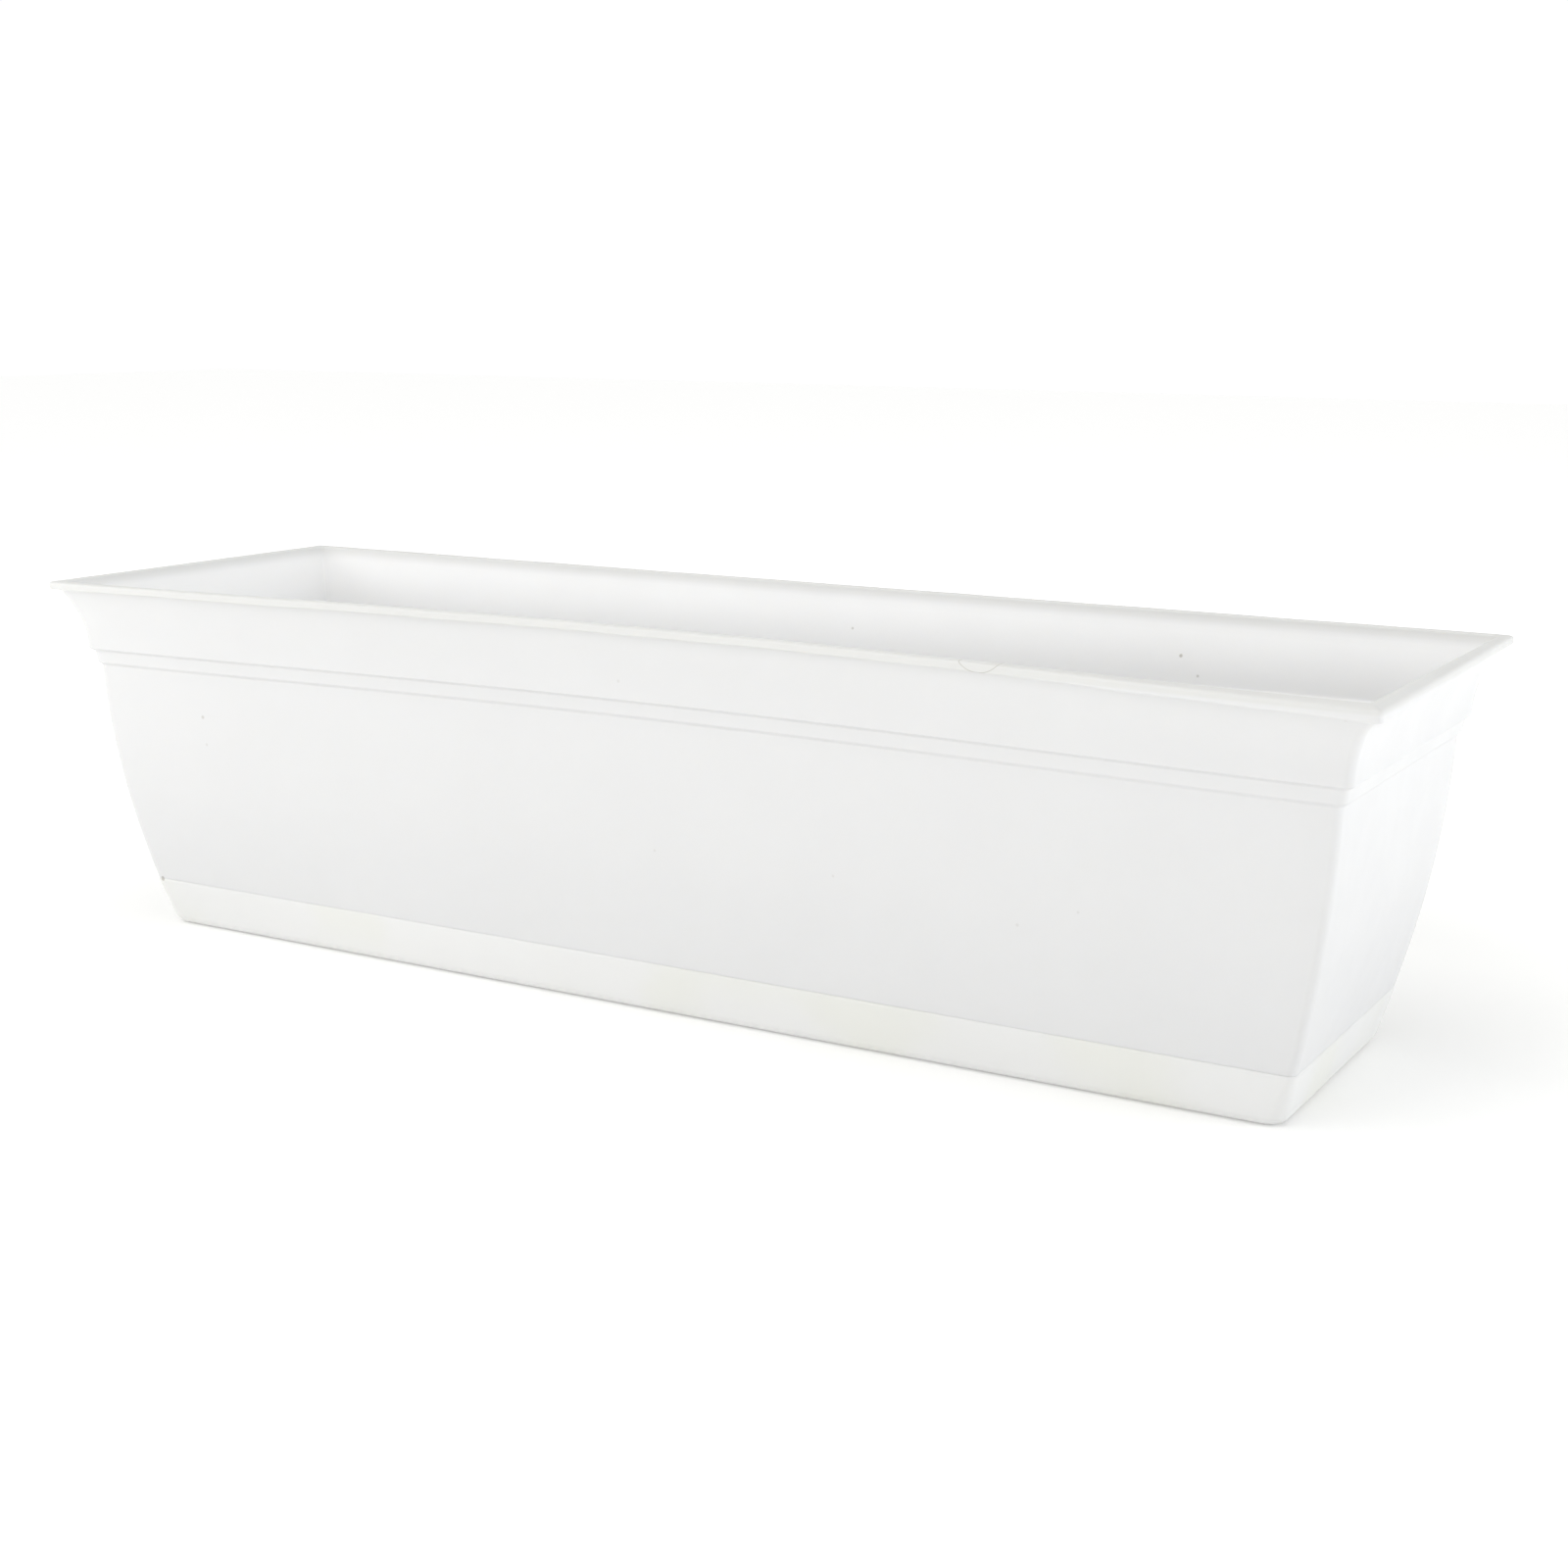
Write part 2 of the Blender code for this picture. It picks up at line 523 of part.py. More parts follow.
make_planter_box(make_material("box_plastic", (0.90, 0.91, 0.92), 0.42))
make_base_tray(make_material("tray_plastic", (0.91, 0.91, 0.88), 0.40))
make_water_platform(make_material("platform_plastic", (0.62, 0.64, 0.66), 0.50))
make_soil_well("soil_well_left", -WELL_X, make_material("well_left_plastic", (0.60, 0.62, 0.64), 0.50))
make_soil_well("soil_well_right", WELL_X, make_material("well_right_plastic", (0.60, 0.62, 0.64), 0.50))
make_fill_tube(make_material("tube_plastic", (0.66, 0.68, 0.70), 0.45))
make_fill_cap(make_material("cap_plastic", (0.30, 0.33, 0.36), 0.40))
make_float(make_material("float_foam", (0.88, 0.88, 0.86), 0.80),
           make_material("rod_plastic", (0.85, 0.86, 0.87), 0.35),
           make_material("marker_plastic", (0.75, 0.08, 0.05), 0.25))
for number, (plug_x, plug_y) in enumerate(PLUG_PLACES, start=1):
    make_drain_plug(f"drain_plug_{number}", plug_x, plug_y,
                    make_material(f"plug_rubber_{number}", (0.07, 0.07, 0.08), 0.75))
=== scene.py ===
# Self-watering window box: the finished look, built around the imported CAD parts.
# Metres, +Z up, long side along X, front towards -Y.

import bmesh
import bpy
import math
from mathutils import Matrix, Vector


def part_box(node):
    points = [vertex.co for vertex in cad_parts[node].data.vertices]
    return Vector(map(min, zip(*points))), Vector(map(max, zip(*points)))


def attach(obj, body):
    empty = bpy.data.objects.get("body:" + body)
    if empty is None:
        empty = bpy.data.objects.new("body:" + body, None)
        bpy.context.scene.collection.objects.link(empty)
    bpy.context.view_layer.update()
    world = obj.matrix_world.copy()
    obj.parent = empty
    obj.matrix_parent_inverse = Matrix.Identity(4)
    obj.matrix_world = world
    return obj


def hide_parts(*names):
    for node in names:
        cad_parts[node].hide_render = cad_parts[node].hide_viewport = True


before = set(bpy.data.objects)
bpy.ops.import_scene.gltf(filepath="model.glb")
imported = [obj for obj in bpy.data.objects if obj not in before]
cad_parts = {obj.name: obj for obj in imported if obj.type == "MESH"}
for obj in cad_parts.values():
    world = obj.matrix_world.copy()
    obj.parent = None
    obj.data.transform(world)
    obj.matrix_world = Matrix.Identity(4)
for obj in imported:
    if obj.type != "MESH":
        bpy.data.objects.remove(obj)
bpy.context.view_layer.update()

rimLow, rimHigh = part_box("planter_box")
trayLow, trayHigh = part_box("base_tray")
gap = 0.0003   # air left between pieces that touch
plugNumbers = (1, 2, 3, 4)


def spotOf(node):
    low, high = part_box(node)
    return (low.x + high.x) / 2, (low.y + high.y) / 2


# Rounding of outlines

def towards(place, other, size):
    reach = math.hypot(other[0] - place[0], other[1] - place[1])
    share = min(size / reach, 0.49) if reach else 0.0
    return [a + (b - a) * share for a, b in zip(place, other)]


def filleted(knots, steps=5, closed=False):
    # Each knot ends with the size of its fillet; the first two values lie in the outline's plane
    points = []
    for index, (*place, size) in enumerate(knots):
        if not size or (not closed and index in (0, len(knots) - 1)):
            points.append(tuple(place))
            continue
        before = knots[index - 1][:-1]
        after = knots[(index + 1) % len(knots)][:-1]
        start, finish = towards(place, before, size), towards(place, after, size)
        if math.hypot(before[0] - place[0], before[1] - place[1]) > 4 * size:
            points.append(tuple(towards(place, before, 1.4 * size)))   # keeps the flat beside it flat
        for step in range(steps + 1):
            t = step / steps
            points.append(tuple((1 - t) ** 2 * a + 2 * t * (1 - t) * b + t * t * c
                                for a, b, c in zip(start, place, finish)))
        if math.hypot(after[0] - place[0], after[1] - place[1]) > 4 * size:
            points.append(tuple(towards(place, after, 1.4 * size)))
    return points


# Making and finishing pieces

def finishPiece(name, bm, material, body, nodes=(), sharp=35):
    mesh = bpy.data.meshes.new(name)
    bm.to_mesh(mesh)
    bm.free()
    for key in ringTags[:4]:
        if key in mesh.attributes:
            mesh.attributes.remove(mesh.attributes[key])
    mesh.materials.append(material)
    mesh.shade_smooth()
    mesh.set_sharp_from_angle(angle=math.radians(sharp))
    piece = bpy.data.objects.new(name, mesh)
    bpy.context.scene.collection.objects.link(piece)
    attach(piece, body)
    if nodes:
        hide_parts(*nodes)
    return piece


def cutBy(bm, tools):
    # Cuts the tools out of bm and returns the new bmesh
    parts = []
    for source in (bm, tools):
        mesh = bpy.data.meshes.new("work")
        source.to_mesh(mesh)
        source.free()
        part = bpy.data.objects.new("work", mesh)
        bpy.context.scene.collection.objects.link(part)
        parts.append(part)
    change = parts[0].modifiers.new("shape", "BOOLEAN")
    change.operation = "DIFFERENCE"
    change.solver = "EXACT"
    change.object = parts[1]
    depsgraph = bpy.context.evaluated_depsgraph_get()
    result = bmesh.new()
    result.from_object(parts[0], depsgraph)
    for part in parts:
        mesh = part.data
        bpy.data.objects.remove(part)
        bpy.data.meshes.remove(mesh)
    return result


def addBlock(bm, size, centre, bevel=0.0):
    made = bmesh.ops.create_cube(bm, size=1.0)["verts"]
    bmesh.ops.scale(bm, vec=size, verts=made)
    if bevel:
        edges = list({edge for vert in made for edge in vert.link_edges})
        made = bmesh.ops.bevel(bm, geom=edges, offset=bevel, offset_type="OFFSET", segments=2, profile=0.5,
                               affect="EDGES", material=-1)["verts"]
    bmesh.ops.translate(bm, vec=centre, verts=made)


def turnPart(bm, verts, angle, axis):
    bmesh.ops.rotate(bm, cent=(0, 0, 0), matrix=Matrix.Rotation(angle, 3, axis), verts=verts)


def addPeg(bm, lowRadius, highRadius, lowZ, highZ, x, y, sides=24):
    made = bmesh.ops.create_cone(bm, cap_ends=True, segments=sides, radius1=lowRadius, radius2=highRadius,
                                 depth=highZ - lowZ)["verts"]
    bmesh.ops.translate(bm, vec=(x, y, (lowZ + highZ) / 2), verts=made)


def addSlot(bm, width, span, lowZ, highZ, x, y, sides=12):
    # Upright peg pulled apart along Y, so that its ends stay round
    made = bmesh.ops.create_cone(bm, cap_ends=True, segments=sides, radius1=width / 2, radius2=width / 2,
                                 depth=highZ - lowZ)["verts"]
    turnPart(bm, made, math.pi / sides, "Z")
    for vert in made:
        vert.co.y += math.copysign((span - width) / 2, vert.co.y)
    bmesh.ops.translate(bm, vec=(x, y, (lowZ + highZ) / 2), verts=made)
    return made


def revolve(bm, outline, steps, x=0.0, y=0.0, closed=False):
    # Turns an outline of (radius, height) about an upright axis
    verts = [bm.verts.new((radius, 0.0, z)) for radius, z in outline]
    pairs = list(zip(verts, verts[1:])) + ([(verts[-1], verts[0])] if closed else [])
    edges = [bm.edges.new(pair) for pair in pairs]
    before = set(bm.verts) - set(verts)
    bmesh.ops.spin(bm, geom=verts + edges, cent=(0, 0, 0), axis=(0, 0, 1), angle=math.tau, steps=steps,
                   use_merge=True, use_duplicate=False)
    made = [vert for vert in bm.verts if vert not in before]
    bmesh.ops.remove_doubles(bm, verts=made, dist=0.000002)
    made = [vert for vert in bm.verts if vert not in before]
    bmesh.ops.recalc_face_normals(bm, faces=list({face for vert in made for face in vert.link_faces}))
    bmesh.ops.translate(bm, vec=(x, y, 0), verts=made)
    return made


# Rounded-rectangle rings

shell = {
    "length": rimHigh.x - rimLow.x,
    "width": rimHigh.y - rimLow.y,
    "height": rimHigh.z,
    "wall": 0.0024,
    "endRatio": 1.06,       # the ends lean a little more than the long sides
    "sideRatio": 0.94,
    "cornerRadius": 0.0036,
    "rimRadius": 0.0020,
    "bowReach": 0.300,      # the front wall has pulled in between its corners
    "bowPower": 1.75,
    "bowAtRim": 0.0178,
    "bowAtSteps": 0.0140,
    "bowStartZ": 0.0100,
    "lipUnderZ": 0.1584,
    "bandFootZ": 0.1312,
    "beadFootZ": 0.1246,
    "lipReach": 0.0030,
    "bandFootInset": 0.0107,
    "beadTopInset": 0.0125,
    "beadFootInset": 0.0132,
    "bodyTopInset": 0.0146,
    "bodyLean": 0.0031,
    "bodyBelly": 0.0112,
    "seamZ": trayHigh.z,
    "skirtFootZ": rimLow.z,
    "skirtInset": 0.0345,
    "floorZ": 0.0244,
    "floorThick": 0.0024,
    "droop": 0.0030,        # the lip sags towards its front right corner
    "droopStart": 0.100,
    "droopReach": 0.200,
    "droopFootZ": 0.150,
    "bodyRings": 14,
    "bandRings": 14,
    "bodyClear": 0.0016,    # plain wall left beside the steps
    "bandClear": 0.0012,
    "stepRise": 0.0011,
    "stepFillet": 0.0006,
    "stepFootFillet": 0.0005,
    "lipWidth": 0.0049,
    "floorFillet": 0.0030,
    "plugHole": 0.0083,
    "overflowSize": (0.005, 0.014),
    "overflowDepth": 0.012,
    "overflowSpots": ((-0.17, 0.072, 0.053), (0.17, 0.072, 0.053)),
}
ringTags = ("fracX", "fracY", "dirX", "dirY", "outside")   # only the last one stays on the mesh


def bodyInset(z):
    down = (shell["beadFootZ"] - z) / (shell["beadFootZ"] - shell["seamZ"])
    return shell["bodyTopInset"] + shell["bodyLean"] * down + shell["bodyBelly"] * down ** 2


def bandInset(z):
    rise = (z - shell["bandFootZ"]) / (shell["lipUnderZ"] - shell["bandFootZ"])
    return shell["bandFootInset"] - (shell["bandFootInset"] - shell["lipReach"]) * rise ** 2


def bowDepth(z):
    low, middle, high = shell["bowStartZ"], shell["beadFootZ"], shell["height"]
    if z <= middle:
        return shell["bowAtSteps"] * max(0.0, z - low) / (middle - low)
    return shell["bowAtSteps"] + (shell["bowAtRim"] - shell["bowAtSteps"]) * (z - middle) / (high - middle)


def lipDroop(x, y):
    along = min(max((x - shell["droopStart"]) / shell["droopReach"], 0.0), 1.0)
    back = min(max((y + shell["width"] / 2) / shell["width"], 0.0), 1.0)
    return shell["droop"] * along ** 1.6 * (1 - back) ** 1.2


def lipWave(x):
    # Hardly visible unevenness along a long moulded edge
    return 0.00012 * math.sin(61 * x + 0.8) + 0.00007 * math.sin(143 * x + 2.1)


def station(inset, z, wall=0.0, bow=None, radius=None, sag=0.0, fillet=0.0):
    return (inset + wall, z, wall, bowDepth(z) if bow is None else bow,
            shell["cornerRadius"] if radius is None else radius, sag, fillet)


def tagRing(ring, tags, longSteps, shortSteps, cornerSteps):
    corners = [(-1, -1, 2), (1, -1, 3), (1, 1, 0), (-1, 1, 1)]
    spots = []
    for index, (sideX, sideY, quarter) in enumerate(corners):
        for step in range(cornerSteps + 1):
            angle = (quarter + step / cornerSteps) * math.pi / 2
            spots.append((sideX, sideY, math.cos(angle), math.sin(angle)))
        nextX, nextY, _ = corners[(index + 1) % 4]
        steps = longSteps if nextY == sideY else shortSteps
        for step in range(1, steps):
            t = step / steps
            spots.append((sideX + (nextX - sideX) * t, sideY + (nextY - sideY) * t, *spots[-1][2:]))
    for vert, spot in zip(ring, spots):
        for tag, value in zip(tags, spot):
            vert[tag] = value


def settleRing(ring, tags, place):
    across, z, wall, bow, radius, sag = place
    inset = across - wall
    halfX = shell["length"] / 2 - inset * shell["endRatio"] - wall
    halfY = shell["width"] / 2 - inset * shell["sideRatio"] - wall
    radius = max(radius - wall, 0.0012)
    for vert in ring:
        fracX, fracY, dirX, dirY = (vert[tag] for tag in tags[:4])
        vert[tags[4]] = max(0.0, 1 - wall / shell["wall"])
        x = fracX * (halfX - radius) + dirX * radius
        y = fracY * (halfY - radius) + dirY * radius
        if y < 0:
            y += bow * max(0.0, 1 - (x / shell["bowReach"]) ** 2) ** shell["bowPower"]
        drop = sag * (lipDroop(x, y) + lipWave(x) * (1 if y < 0 else 0.5))
        vert.co = (x, y, z - drop)


def ringSkin(stations, longSteps=60, shortSteps=16, cornerSteps=8):
    # Skin drawn through the stations one ring at a time, closed at both ends
    bm = bmesh.new()
    tags = [bm.verts.layers.float.new(key) for key in ringTags]
    total = 2 * (longSteps - 1) + 2 * (shortSteps - 1) + 4 * (cornerSteps + 1)
    ring = bmesh.ops.create_circle(bm, cap_ends=False, segments=total, radius=1.0)["verts"]
    tagRing(ring, tags, longSteps, shortSteps, cornerSteps)
    settleRing(ring, tags, stations[0])
    firstEdges = edges = list(bm.edges)
    for place in stations[1:]:
        made = bmesh.ops.extrude_edge_only(bm, edges=edges)["geom"]
        ring = [part for part in made if isinstance(part, bmesh.types.BMVert)]
        edges = [part for part in made if isinstance(part, bmesh.types.BMEdge)]
        settleRing(ring, tags, place)
    bmesh.ops.edgeloop_fill(bm, edges=firstEdges)
    bmesh.ops.edgeloop_fill(bm, edges=edges)
    bmesh.ops.recalc_face_normals(bm, faces=bm.faces)
    return bm


# Materials

def addNode(tree, kind, **settings):
    node = tree.nodes.new(kind)
    for key, value in settings.items():
        if hasattr(node, key):
            setattr(node, key, value)
        else:
            node.inputs[key.replace("_", " ")].default_value = value
    return node


def noiseOf(tree, coords, scale, detail=2.0, roughness=0.5, stretch=None):
    source = coords
    if stretch:
        mapping = addNode(tree, "ShaderNodeMapping")
        mapping.inputs["Scale"].default_value = stretch
        tree.links.new(coords, mapping.inputs["Vector"])
        source = mapping.outputs["Vector"]
    noise = addNode(tree, "ShaderNodeTexNoise", Scale=scale, Detail=detail, Roughness=roughness)
    tree.links.new(source, noise.inputs["Vector"])
    return noise.outputs["Fac"]


def remap(tree, value, low, high, toLow, toHigh):
    node = addNode(tree, "ShaderNodeMapRange", interpolation_type="SMOOTHSTEP")
    for key, number in zip(("From Min", "From Max", "To Min", "To Max"), (low, high, toLow, toHigh)):
        node.inputs[key].default_value = number
    tree.links.new(value, node.inputs["Value"])
    return node.outputs["Result"]


def feed(tree, socket, value):
    # A plain value is set on the socket, and anything else is linked to it
    if isinstance(value, (int, float, tuple)):
        socket.default_value = value
    else:
        tree.links.new(value, socket)


def mixColor(tree, factor, first, second, blend="MIX"):
    node = addNode(tree, "ShaderNodeMix", data_type="RGBA", blend_type=blend)
    for number, value in ((0, factor), (6, first), (7, second)):
        feed(tree, node.inputs[number], value)
    return node.outputs[2]


def maths(tree, operation, first, second=0.0):
    node = addNode(tree, "ShaderNodeMath", operation=operation)
    feed(tree, node.inputs[0], first)
    feed(tree, node.inputs[1], second)
    return node.outputs[0]


def awayFrom(tree, value, number):
    return maths(tree, "ABSOLUTE", maths(tree, "SUBTRACT", value, number))


def splitOf(tree, vector):
    split = addNode(tree, "ShaderNodeSeparateXYZ")
    tree.links.new(vector, split.inputs["Vector"])
    return split.outputs


def distanceTo(tree, vector, place):
    distance = addNode(tree, "ShaderNodeVectorMath", operation="DISTANCE")
    tree.links.new(vector, distance.inputs[0])
    distance.inputs[1].default_value = place
    return distance.outputs["Value"]


def speckFactor(tree, coords, place, radius):
    return remap(tree, distanceTo(tree, coords, place), radius * 0.45, radius, 1.0, 0.0)


def scratchFactor(tree, coords, centre, radius, width, frontY):
    # Thin arc drawn on the front, seen along Y
    flat = addNode(tree, "ShaderNodeMapping")
    flat.inputs["Scale"].default_value = (1.0, 0.0, 1.0)
    tree.links.new(coords, flat.inputs["Vector"])
    away = awayFrom(tree, distanceTo(tree, flat.outputs["Vector"], centre), radius)
    line = remap(tree, away, width * 0.4, width, 1.0, 0.0)
    front = remap(tree, splitOf(tree, coords)["Y"], frontY, frontY + 0.001, 1.0, 0.0)
    return maths(tree, "MULTIPLY", line, front)


def paintedShade(tree, coords, color, look):
    # Painted shade: the outside is painted darker than the inside, darker again on the lip, and a thin
    # painted shade line runs at the foot of each step
    outside = addNode(tree, "ShaderNodeAttribute", attribute_name="outside").outputs["Fac"]
    height = splitOf(tree, coords)["Z"]
    # painted shade: the whole outside is darker than the inside
    color = mixColor(tree, outside, color, (*look["outsideShade"], 1.0), "MULTIPLY")
    # painted shade on the lip
    atLip = remap(tree, height, *look["lipHeights"], 0.0, 1.0)
    color = mixColor(tree, maths(tree, "MULTIPLY", outside, atLip), color, (*look["lip"], 1.0), "MULTIPLY")
    # painted shade line at the foot of each step
    for stepShadeHeight in look["stepShadeHeights"]:
        near = remap(tree, awayFrom(tree, height, stepShadeHeight), 0.0, look["stepShadeReach"], 1.0, 0.0)
        line = maths(tree, "MULTIPLY", outside, near)
        color = mixColor(tree, line, color, (*look["stepShade"], 1.0), "MULTIPLY")
    return color


usualLook = {
    "shade": 0.94,          # tone of the cloudy patches, beside the plain colour
    "cloudScale": 9.0,
    "stainScale": 13.0,
    "scuff": 0.25,
    "scuffScale": 26.0,
    "patchScale": 38.0,     # patches of different shine
    "grain": 0.10,
    "grainScale": 900.0,
    "grainDepth": 0.0002,
    "ripple": 0.10,
    "rippleScale": 16.0,
    "rippleDepth": 0.0016,
    "ior": 1.49,
    "soft": 0.0,            # how much light goes into the plastic
    "softColor": (1.0, 0.93, 0.80),
    "softDepth": 0.0040,
}
speckTone = (0.30, 0.27, 0.22, 1.0)


def plastic(name, ownLook, specks=()):
    look = {**usualLook, **ownLook}
    material = bpy.data.materials.new(name)
    material.use_nodes = True
    tree = material.node_tree
    shader = tree.nodes["Principled BSDF"]
    coords = addNode(tree, "ShaderNodeTexCoord").outputs["Object"]
    tint = (*look["color"], 1.0)
    shade = tuple(channel * look["shade"] for channel in look["color"]) + (1.0,)

    cloud = remap(tree, noiseOf(tree, coords, look["cloudScale"], 3.0), 0.35, 0.68, 0.0, 1.0)
    color = mixColor(tree, cloud, tint, shade)
    if "stain" in look:
        patches = remap(tree, noiseOf(tree, coords, look["stainScale"], 2.0, 0.4), 0.50, 0.66, 0.0, 1.0)
        color = mixColor(tree, patches, color, (*look["stain"], 1.0), "MULTIPLY")
    streaks = noiseOf(tree, coords, look["scuffScale"], 4.0, 0.65, (1.0, 1.0, 3.2))
    color = mixColor(tree, remap(tree, streaks, 0.66, 0.78, 0.0, look["scuff"]), color, shade)
    # painted shade on the outside, on the lip and at the feet of the steps
    if "outsideShade" in look:
        color = paintedShade(tree, coords, color, look)
    if "scratch" in look:
        scratch = scratchFactor(tree, coords, *look["scratch"])
        color = mixColor(tree, scratch, color, (*look["scratchTone"], 1.0))
    for place, radius, amount in specks:
        factor = maths(tree, "MULTIPLY", speckFactor(tree, coords, place, radius), amount)
        color = mixColor(tree, factor, color, speckTone)
    tree.links.new(color, shader.inputs["Base Color"])

    rough = look["roughness"]
    patch = noiseOf(tree, coords, look["patchScale"], 3.0, 0.6)
    tree.links.new(remap(tree, patch, 0.3, 0.7, rough - 0.05, rough + 0.06), shader.inputs["Roughness"])
    grain = addNode(tree, "ShaderNodeBump", Strength=look["grain"], Distance=look["grainDepth"])
    tree.links.new(noiseOf(tree, coords, look["grainScale"], 2.0, 0.6), grain.inputs["Height"])
    ripple = addNode(tree, "ShaderNodeBump", Strength=look["ripple"], Distance=look["rippleDepth"])
    tree.links.new(noiseOf(tree, coords, look["rippleScale"], 1.0), ripple.inputs["Height"])
    tree.links.new(grain.outputs["Normal"], ripple.inputs["Normal"])
    tree.links.new(ripple.outputs["Normal"], shader.inputs["Normal"])
    shader.inputs["IOR"].default_value = look["ior"]
    if look["soft"]:
        shader.inputs["Subsurface Weight"].default_value = look["soft"]
        shader.inputs["Subsurface Radius"].default_value = look["softColor"]
        shader.inputs["Subsurface Scale"].default_value = look["softDepth"]
    return material


# Planter box

boxLook = {
    "color": (0.822, 0.823, 0.823),
    "shade": 0.992,
    "cloudScale": 22.0,
    "roughness": 0.44,
    "grain": 0.08,
    "ripple": 0.018,
    "scuff": 0.30,
    "soft": 0.20,
    # painted shade: the outside darker than the inside
    "outsideShade": (0.838, 0.839, 0.842),
    # painted shade on the lip
    "lip": (0.950, 0.950, 0.930),
    "lipHeights": (0.1578, 0.1590),
    # painted shade lines at the feet of the steps
    "stepShade": (0.955, 0.955, 0.960),
    "stepShadeHeights": (0.1308, 0.1242),
    "stepShadeReach": 0.0013,
    "scratch": ((0.1558, 0.0, 0.1695), 0.0112, 0.00022, -0.070),   # centre, radius, width, front of Y
    "scratchTone": (0.50, 0.49, 0.46),
}
boxSpecks = [   # place, radius, amount
    ((-0.2298, -0.0748, 0.1039), 0.0011, 0.35),
    ((-0.2289, -0.0741, 0.0913), 0.0009, 0.18),
    ((-0.0096, -0.0671, 0.1386), 0.0009, 0.16),
    ((0.0068, -0.0664, 0.0706), 0.0008, 0.14),
    ((0.0898, -0.0676, 0.0712), 0.0008, 0.14),
    ((0.1686, -0.0695, 0.0635), 0.0009, 0.16),
    ((0.1932, -0.0711, 0.0722), 0.0008, 0.14),
    ((0.1724, 0.0812, 0.1443), 0.0010, 0.55),
    ((0.1806, 0.0798, 0.1366), 0.0008, 0.40),
    ((0.0169, 0.0811, 0.1440), 0.0008, 0.40),
    ((0.2065, -0.0837, 0.1600), 0.0010, 0.40),
    ((0.2920, -0.0880, 0.1555), 0.0010, 0.25),
    ((-0.2701, -0.0645, 0.0221), 0.0012, 0.60),
]


def boxStations():
    wall, rim = shell["wall"], shell["rimRadius"]
    seat, foot, skirt = shell["seamZ"] + gap / 10, shell["skirtFootZ"], shell["skirtInset"]
    steps, band, under, top = shell["beadFootZ"], shell["bandFootZ"], shell["lipUnderZ"], shell["height"]
    rise, soft, tight = shell["stepRise"], shell["stepFillet"], shell["stepFootFillet"]
    knots = [
        station(skirt, shell["floorZ"] - shell["floorThick"], wall),
        station(skirt, foot, wall, bow=0.0, fillet=0.0007),
        station(skirt, foot, bow=0.0, fillet=0.0007),
        station(skirt, seat, fillet=0.0004),
        station(bodyInset(seat), seat, fillet=0.00010),
    ]
    clear, rings = shell["bodyClear"], shell["bodyRings"]
    bodyZs = [seat + clear + (steps - clear - seat - clear) * share / rings for share in range(rings + 1)]
    knots += [station(bodyInset(z), z) for z in bodyZs]
    knots += [
        station(shell["bodyTopInset"], steps - rise, fillet=soft),
        station(shell["beadFootInset"] + 0.0001, steps, fillet=tight),
        station(shell["beadTopInset"], band - rise, fillet=soft),
        station(shell["bandFootInset"], band - 0.0001, fillet=tight),
    ]
    clear, rings, droopFoot = shell["bandClear"], shell["bandRings"], shell["droopFootZ"]
    for share in range(1, rings + 1):
        z = band + clear + (under - band - clear) * share / rings
        droops = max(0.0, (z - droopFoot) / (under - droopFoot))
        knots.append(station(bandInset(z), z, sag=droops, fillet=0.0004 if share == rings else 0.0))
    knots += [
        station(0.0, under + 0.0001, radius=rim, sag=1.0, fillet=0.0010),
        station(0.0, top, radius=rim, sag=0.80, fillet=0.0013),
        station(shell["lipWidth"], top, radius=rim, sag=0.05, fillet=0.0008),
    ]
    inner = [band + 0.0030 + (under - 0.0020 - band - 0.0030) * share / 9 for share in range(9, -1, -1)]
    knots += [station(bandInset(z), z, wall) for z in inner]
    knots += [
        station(shell["bandFootInset"], band + 0.0016, wall, fillet=soft),
        station(shell["beadFootInset"], band - 0.0010, wall, fillet=soft),
        station(shell["beadFootInset"] + 0.0002, steps + 0.0016, wall, fillet=soft),
        station(shell["bodyTopInset"], steps + 0.0004, wall, fillet=soft),
    ]
    floor = shell["floorZ"]
    knots += [station(bodyInset(z), z, wall) for z in reversed(bodyZs) if z > floor + 0.004]
    knots += [station(bodyInset(floor), floor, wall, fillet=shell["floorFillet"]),
              station(bodyInset(floor) + 0.0120, floor, wall)]
    return filleted(knots)


def makePlanterBox():
    bm = ringSkin(boxStations())
    tools = bmesh.new()
    hole, depth = shell["plugHole"], shell["overflowDepth"]
    for number in plugNumbers:
        addPeg(tools, hole, hole, shell["floorZ"] - 0.008, shell["floorZ"] + 0.004,
               *spotOf(f"drain_plug_{number}"), 40)
    for spot in shell["overflowSpots"]:   # in the back wall, lying along X
        made = addSlot(tools, *shell["overflowSize"], -depth, depth, 0.0, 0.0, 20)
        turnPart(tools, made, math.pi / 2, "Z")
        turnPart(tools, made, math.pi / 2, "X")
        bmesh.ops.translate(tools, vec=spot, verts=made)
    bm = cutBy(bm, tools)
    finishPiece("planterBoxShell", bm, plastic("boxPlastic", boxLook, boxSpecks), "box",
                ["planter_box"])


makePlanterBox()
print("planter box made")


# Base tray

